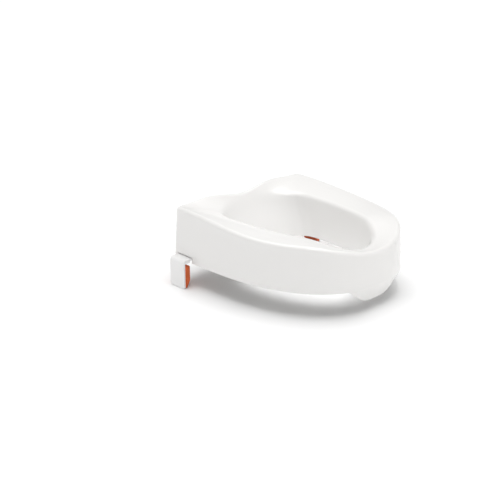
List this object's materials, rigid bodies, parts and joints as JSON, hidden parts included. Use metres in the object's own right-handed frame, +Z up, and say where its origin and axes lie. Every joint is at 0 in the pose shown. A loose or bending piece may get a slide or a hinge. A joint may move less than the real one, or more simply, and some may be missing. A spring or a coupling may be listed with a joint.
{
  "type": "raised toilet seat",
  "caption": "Raised toilet seat with a dipped front, a front lip and sliding side brackets whose soft jaws grip a standard bowl.",
  "frame": {"origin": "middle of the seat's plan outline, on the plane of the bowl's rim that the rubber rim pads rest on", "axes": "+Z up, front of the seat towards -Y, +X to the right of someone who looks along +Y at its front"},
  "size_m": [0.408, 0.39, 0.1599],
  "materials": {
    "seat_plastic": "satin-gloss moulded polypropylene, warm white",
    "bracket_plastic": "satin moulded polyamide, white",
    "frame_plastic": "moulded polypropylene with a fine grain, off-white",
    "wheel_plastic": "fine-grained moulded polyamide, light grey",
    "grip_rubber": "matte soft elastomer, terracotta orange",
    "rim_rubber": "matte rubber, pale grey",
    "steel": "stainless steel, machined",
    "brass": "machined brass"
  },
  "bodies": {
    "seat": {"seat_shell": "seat_plastic", "underframe": "frame_plastic", "front_right_rim_pad": "rim_rubber", "front_left_rim_pad": "rim_rubber", "rear_right_rim_pad": "rim_rubber", "rear_left_rim_pad": "rim_rubber", "right_threaded_insert": "brass", "right_keeper_plate": "bracket_plastic", "right_keeper_screws": "steel", "left_threaded_insert": "brass", "left_keeper_plate": "bracket_plastic", "left_keeper_screws": "steel"},
    "right_jaw": {"right_bracket": "bracket_plastic", "right_grip_pad": "grip_rubber"},
    "right_clamp": {"right_clamp_washer": "steel"},
    "right_thumbscrew": {"right_thumb_wheel": "wheel_plastic", "right_clamp_stud": "steel"},
    "left_jaw": {"left_bracket": "bracket_plastic", "left_grip_pad": "grip_rubber"},
    "left_clamp": {"left_clamp_washer": "steel"},
    "left_thumbscrew": {"left_thumb_wheel": "wheel_plastic", "left_clamp_stud": "steel"}
  },
  "joints": [
    {"name": "right_bracket_slide", "type": "slide", "parent": "seat", "child": "right_jaw", "axis": [1, 0, 0], "range_m": [-0.014, 0.01]},
    {"name": "right_clamp_drop", "type": "slide", "parent": "seat", "child": "right_clamp", "axis": [0, 0, -1], "range_m": [0, 0.001]},
    {"name": "right_thumbscrew_turn", "type": "hinge", "parent": "right_clamp", "child": "right_thumbscrew", "pos_m": [0.138, 0.158, 0.0037], "axis": [0, 0, -1], "range_deg": [0, 360]},
    {"name": "left_bracket_slide", "type": "slide", "parent": "seat", "child": "left_jaw", "axis": [-1, 0, 0], "range_m": [-0.014, 0.01]},
    {"name": "left_clamp_drop", "type": "slide", "parent": "seat", "child": "left_clamp", "axis": [0, 0, -1], "range_m": [0, 0.001]},
    {"name": "left_thumbscrew_turn", "type": "hinge", "parent": "left_clamp", "child": "left_thumbscrew", "pos_m": [-0.138, 0.158, 0.0037], "axis": [0, 0, -1], "range_deg": [0, 360]}
  ],
  "couplings": [
    {"joint": "right_clamp_drop", "follows": "right_thumbscrew_turn", "m_per_rad": 0.00015915},
    {"joint": "left_clamp_drop", "follows": "left_thumbscrew_turn", "m_per_rad": 0.00015915}
  ]
}
